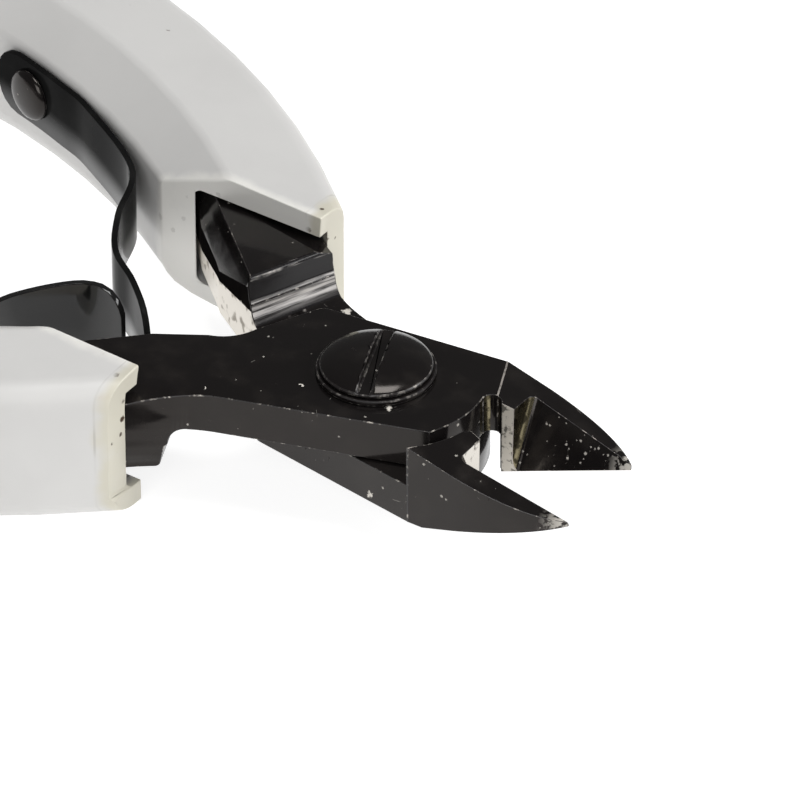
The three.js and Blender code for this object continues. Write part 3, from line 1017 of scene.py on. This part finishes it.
@dataclass(frozen=True)
class Zone:
    """Some faces of a lever, told in its closed pose: where they lie from the pivot and how they face."""

    x: Span = ANYWHERE
    y: Span = ANYWHERE
    centre: Span = (0.0, 0.0)
    reach: float = math.inf
    normal_x: Span = ANYWHERE
    normal_y: Span = ANYWHERE
    tilt: Span = ANYWHERE

    def holds(self, at: Vector, normal: Vector) -> bool:
        """Says whether a face is in the zone.

        Args:
            at: Its centre.
            normal: Its normal, whose upward part gives the tilt.

        Returns:
            True if every limit holds it.
        """
        limits = (
            (self.x, at.x),
            (self.y, at.y),
            (under(self.reach), (at.to_2d() - Vector(self.centre)).length),
            (self.normal_x, normal.x),
            (self.normal_y, normal.y),
            (self.tilt, abs(normal.z)),
        )
        return all(low < value < high for (low, high), value in limits)


@dataclass(frozen=True)
class LeverPlan:
    """Where a lever's looks lie and which of its edges are soft, told in its closed pose."""

    jaw_x: float = 8.9 * MM
    tip_x: float = 17 * MM
    edge_y: float = 0.1 * MM
    bevels: Zone = Zone(x=over(jaw_x), normal_y=under(-0.6))
    throat: Zone = Zone(centre=(8.2 * MM, 0.0), reach=0.75 * MM, normal_x=over(0.55))
    end_wall: Zone = Zone(x=(9.6 * MM, 11.0 * MM), normal_x=over(0.4))
    land: Zone = Zone(x=(8.8 * MM, 10.2 * MM), y=under(0.15 * MM), normal_y=under(-0.97))
    step: Zone = Zone(x=under(-9.5 * MM), normal_x=over(0.2), normal_y=(-0.45, 0.45))
    inner_wall: Zone = Zone(x=(-30 * MM, -8 * MM), normal_y=over(0.5), tilt=under(0.05))
    inner_edge: Zone = Zone(x=under(-8 * MM), normal_y=over(0.3), tilt=over(0.2))
    cutting_edge: Zone = Zone(x=over(jaw_x), y=under(edge_y))
    crease_outer: Span = (7.5 * MM, 4.45 * MM)
    crease_inner: Span = (8.45 * MM, 0.2 * MM)
    crease_reach: float = 0.05 * MM
    crease_width: float = 0.1 * MM
    crease_facing: float = 0.5
    crease_angle: float = 8.0
    sharp_angle: float = 28.0
    crease_share: float = 0.7
    cutting_share: float = 0.5
    tip_share: float = 0.3
    jaw_share: float = 0.45
    back_share: float = 0.8

    def off_crease(self, place: Vector) -> float:
        """How far a place lies in plan from the crease where the jaw's top facet starts.

        Args:
            place: The place.

        Returns:
            The distance.
        """
        outer, inner = Vector(self.crease_outer), Vector(self.crease_inner)
        along = (inner - outer).normalized()
        return abs(along.cross(place.to_2d() - outer))

    def on_crease(self, at: Vector, normal: Vector) -> bool:
        """Says whether a face is a rounding of the crease, which shows bright."""
        return self.off_crease(at) < self.crease_width and normal.z > self.crease_facing

    def edge_share(self, first: Vector, second: Vector, angle: float) -> float:
        """How much of the rounding an edge gets: less on the jaw, and some on the shallow crease.

        Args:
            first: One end of the edge.
            second: Its other end.
            angle: Its angle in degrees.

        Returns:
            The share from 0 to 1.
        """
        ends = first, second
        on_crease = all(self.off_crease(end) < self.crease_reach for end in ends)
        if on_crease and angle > self.crease_angle:
            return self.crease_share
        if angle < self.sharp_angle:
            return 0.0
        ahead = max(end.x for end in ends)
        if ahead > self.jaw_x and all(abs(end.y) < self.edge_y for end in ends):
            return self.cutting_share
        if ahead > self.tip_x:
            return self.tip_share
        return self.jaw_share if ahead > self.jaw_x else self.back_share


@dataclass(frozen=True)
class GripPlan:
    """Which edges of a grip are soft."""

    mouth_y: float = 10.2 * MM
    mouth_reach: float = 0.05 * MM
    rim_x: float = 36.2 * MM
    rim_y: float = 13.3 * MM
    sharp_angle: float = 26.0
    rim_share: float = 0.2
    mouth_share: float = 0.4
    back_share: float = 0.9

    def edge_share(self, first: Vector, second: Vector, angle: float) -> float:
        """How much of the rounding an edge gets: little on the thin rim, and some round the mouth.

        Args:
            first: One end of the edge.
            second: Its other end.
            angle: Its angle in degrees.

        Returns:
            The share from 0 to 1.
        """
        if angle < self.sharp_angle:
            return 0.0
        ends = first, second
        if all(end.x > self.rim_x and abs(end.y) > self.rim_y for end in ends):
            return 0.0
        if max(first.x, second.x) > self.rim_x:
            return self.rim_share
        on_mouth = all(abs(abs(end.y) - self.mouth_y) < self.mouth_reach for end in ends)
        return self.mouth_share if on_mouth else self.back_share


@dataclass
class HandHalf:
    """A lever with its grip, leaf spring and rivet."""

    side: str
    body: Body
    nodes: dict[str, Piece]
    shop: Workshop
    pivot: Vector
    plan: LeverPlan = LeverPlan()
    grip_plan: GripPlan = GripPlan()
    lever_edge: float = 0.085 * MM
    grip_edge: float = 0.45 * MM
    grip_segments: int = 3
    small_edge: float = 0.08 * MM
    small_angle: float = 40.0
    strip_by_step: Triple = (36.73 * MM, 4.26 * MM, 6.5 * MM)
    strip_by_grip: Triple = (27.51 * MM, 11.83 * MM, 4.25 * MM)
    leaf_root: Span = (9 * MM, 3 * MM)
    upper_share: float = 0.326

    @property
    def is_upper(self) -> bool:
        """Says whether this is the half whose lap plate lies on top."""
        return self.body is Body.UPPER

    @property
    def sign(self) -> float:
        """1 on the half whose handle is at -Y, -1 on its mirror image."""
        return 1.0 if self.is_upper else -1.0

    def closed(self, place: Vector) -> Vector:
        """A place relative to the pivot in the lever's closed pose, with the jaw at +Y.

        Args:
            place: A point or, with the pivot added, a direction in the row frame.

        Returns:
            The same in the closed frame.
        """
        x, y, z = place - self.pivot
        y *= self.sign
        cos, sin = math.cos(HALF_OPENING), math.sin(HALF_OPENING)
        return Vector((x * cos + y * sin, y * cos - x * sin, z))

    def in_closed(self, test: FaceTest) -> FaceTest:
        """A test of faces in the row frame from one told in the closed frame."""
        return lambda centre, normal: test(self.closed(centre), self.closed(self.pivot + normal))

    def lever_weight(self, first: Vector, second: Vector, angle: float) -> float:
        """How much of the rounding a lever's edge gets."""
        return self.plan.edge_share(self.closed(first), self.closed(second), angle)

    def piece(self, kind: str) -> Piece:
        """A stand-in for one of this half's CAD nodes, named after its side and kind."""
        name = f"{self.side}_{kind}"
        return stand_in(self.nodes[name], name)

    def build(self) -> None:
        """Builds and dresses every piece of this half."""
        self.lever()
        self.grip()
        self.leaf()
        self.rivet()

    def step(self) -> Burnished:
        """The finish of this lever's lap step."""
        step = Burnished(name=f"{self.side}_step", turn=self.sign * (HALF_OPENING - STEP_ANGLE))
        return step.flipped() if self.is_upper else step

    def lever(self) -> None:
        """The steel lever: oxide, jaw facets, bare throat and worn edges, with the upper lever's throat
        painted darker as painted shade.
        """
        lever = self.piece("lever")
        shop, plan = self.shop, self.plan
        # The upper lever's throat and end wall take the darker copy of the bare steel, a painted shade.
        throat = shop.tempered if self.is_upper else shop.bare
        steels = (shop.oxide, shop.edge, shop.jaw, throat, self.step().material(), shop.land, shop.keen)
        for material in (*steels, shop.matte, shop.strip):
            lever.data.materials.append(material)
        self.grind_strip(lever)
        for look, zone in (
            (LeverLook.JAW, plan.bevels),
            (LeverLook.STEP, plan.step),
            (LeverLook.THROAT, plan.throat),
            (LeverLook.THROAT, plan.end_wall),
            (LeverLook.LAND, plan.land),
        ):
            paint(lever, look, self.in_closed(zone.holds))
        round_edges(lever, self.lever_edge, self.lever_weight, edge_slot=LeverLook.EDGE)
        paint(lever, LeverLook.OXIDE, self.in_closed(plan.inner_edge.holds))
        for test in (plan.on_crease, plan.cutting_edge.holds):
            paint(lever, LeverLook.KEEN, self.in_closed(test), among=LeverLook.EDGE)
        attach(lever, self.body.value)

    def grind_strip(self, lever: Piece) -> None:
        """Parts the tang's inner wall along its ground strip's upper edge and gives both parts their look:
        above it black oxide with no reflection, a painted shade for the dark bevel facet there, and below it
        the ground strip.

        Args:
            lever: The lever's copy.
        """
        mirror = Vector((1, -self.sign, 1))
        start, end = Vector(self.strip_by_step) * mirror, Vector(self.strip_by_grip) * mirror
        along = end - start
        across = Vector((-along.y, along.x, 0)).normalized()
        upward = along.cross(across).normalized()
        upward *= math.copysign(1, upward.z)

        def below(centre: Vector, normal: Vector) -> bool:
            """Says whether a face lies below the strip's upper edge."""
            return (centre - start).dot(upward) < 0

        on_wall = self.in_closed(self.plan.inner_wall.holds)
        make_active(lever)
        bpy.context.tool_settings.mesh_select_mode = (False, False, True)
        bpy.ops.object.mode_set(mode="EDIT")
        bpy.ops.mesh.select_all(action="DESELECT")
        bpy.ops.object.mode_set(mode="OBJECT")
        for face in lever.data.polygons:
            face.select = on_wall(face.center.copy(), face.normal.copy())
        bpy.ops.object.mode_set(mode="EDIT")
        bpy.ops.mesh.bisect(plane_co=start, plane_no=upward)
        bpy.ops.object.mode_set(mode="OBJECT")
        # Painted shade: the wall above the strip takes the black with no reflection.
        paint(lever, LeverLook.MATTE, on_wall)
        paint(lever, LeverLook.STRIP, below, among=LeverLook.MATTE)

    def grip(self) -> None:
        """The moulded grip with soft rims."""
        grip = self.piece("lever_grip")
        grip.data.materials.append(self.shop.plastic)
        round_edges(grip, self.grip_edge, self.grip_plan.edge_share, segments=self.grip_segments)
        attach(grip, self.body.value)

    def leaf(self) -> None:
        """The leaf spring, attached to neither half; the real one bends between the two halves."""
        leaf = self.piece("leaf_spring")
        leaf.data.materials.append(self.shop.spring if self.is_upper else self.shop.dull_spring)
        round_edges(leaf, self.small_edge, sharper_than(self.small_angle))
        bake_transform(leaf)

    def rivet(self) -> None:
        """The rivet that holds the leaf's root."""
        rivet = self.piece("spring_rivet")
        blacken(rivet, self.shop, self.small_edge, self.small_angle)
        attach(rivet, self.body.value)


@dataclass
class PivotSet:
    """The slotted screw and its washer, fixed in the lower lever."""

    nodes: dict[str, Piece]
    shop: Workshop
    edge: float = 0.11 * MM
    edge_angle: float = 34.0

    def build(self) -> None:
        """Builds and dresses both pieces."""
        for name in ("pivot_screw", "pivot_washer"):
            copy = stand_in(self.nodes[name], name)
            blacken(copy, self.shop, self.edge, self.edge_angle)
            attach(copy, Body.LOWER.value)


@dataclass(frozen=True)
class SoftBox:
    """A square area light, aimed at the middle of the part."""

    name: str
    place: Triple
    size: float
    watts: float

    def build(self) -> None:
        """Hangs the light, unseen by the camera."""
        data = bpy.data.lights.new(self.name, "AREA")
        data.size = self.size
        data.energy = self.watts
        lamp = bpy.data.objects.new(self.name, data)
        bpy.context.scene.collection.objects.link(lamp)
        lamp.location = self.place
        lamp.rotation_euler = (-Vector(self.place)).to_track_quat("-Z", "Y").to_euler()
        lamp.visible_camera = False


@dataclass
class Studio:
    """Pale floor, soft light and the camera of the photograph."""

    pivot: Vector
    floor_size: float = 6.0
    floor_z: float = -0.2 * MM
    surround: float = 0.13
    boxes: tuple[SoftBox, ...] = (
        SoftBox("key_box", place=(0.3, -0.85, 0.6), size=0.6, watts=4.4),
        SoftBox("top_box", place=(0.15, 0.1, 1.2), size=0.5, watts=6.8),
        SoftBox("side_box", place=(0.85, 0.4, 0.5), size=0.6, watts=7.5),
    )
    camera_mm: Triple = (275.7, -399.9, 355.4)
    azimuth: float = math.radians(34.4)
    elevation: float = math.radians(36.14)
    focal_pixels: float = 9150.0
    image_pixels: float = 800.0
    sensor_mm: float = 36.0
    clip: Span = (0.01, 50.0)

    def build(self) -> None:
        """Makes the floor, the lights and the camera."""
        self.floor()
        self.lights()
        self.camera()

    def floor(self) -> None:
        """A wide pale floor that the grips lie on."""
        bpy.ops.mesh.primitive_plane_add(size=self.floor_size, location=(0, 0, self.floor_z))
        floor = bpy.context.view_layer.objects.active
        floor.name = "studio_floor"
        floor.data.materials.append(Paper().material())

    def lights(self) -> None:
        """Soft boxes and a dim even surround."""
        world = bpy.data.worlds.new("surround")
        world.use_nodes = True
        background = world.node_tree.nodes["Background"]
        background.inputs["Color"].default_value = (1, 1, 1, 1)
        background.inputs["Strength"].default_value = self.surround
        bpy.context.scene.world = world
        for box in self.boxes:
            box.build()

    def camera(self) -> None:
        """The long lens that the photograph was taken with."""
        data = bpy.data.cameras.new("photo_camera")
        data.sensor_width = self.sensor_mm
        data.lens = self.focal_pixels / self.image_pixels * self.sensor_mm
        data.clip_start, data.clip_end = self.clip
        camera = bpy.data.objects.new("photo_camera", data)
        bpy.context.scene.collection.objects.link(camera)
        level = math.cos(self.elevation)
        aside, nearer = math.sin(self.azimuth) * level, math.cos(self.azimuth) * level
        back = Vector((aside, -nearer, math.sin(self.elevation)))
        camera.location = self.pivot + Vector(self.camera_mm) * MM
        camera.rotation_mode = "QUATERNION"
        camera.rotation_quaternion = (-back).to_track_quat("-Z", "Y")
        bpy.context.scene.camera = camera
        bpy.context.scene.view_settings.view_transform = "Standard"


def main() -> None:
    """Builds the studio and every piece."""
    logging.basicConfig(level=logging.INFO, format="%(name)s: %(message)s")
    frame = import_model()
    nodes = frame["nodes"]
    pivot = Vector(frame["joints"][0]["pos_m"])
    shop = Workshop()
    Studio(pivot).build()
    HandHalf("upper", Body.UPPER, nodes, shop, pivot).build()
    HandHalf("lower", Body.LOWER, nodes, shop, pivot).build()
    PivotSet(nodes, shop).build()


if __name__ == "__main__":
    main()
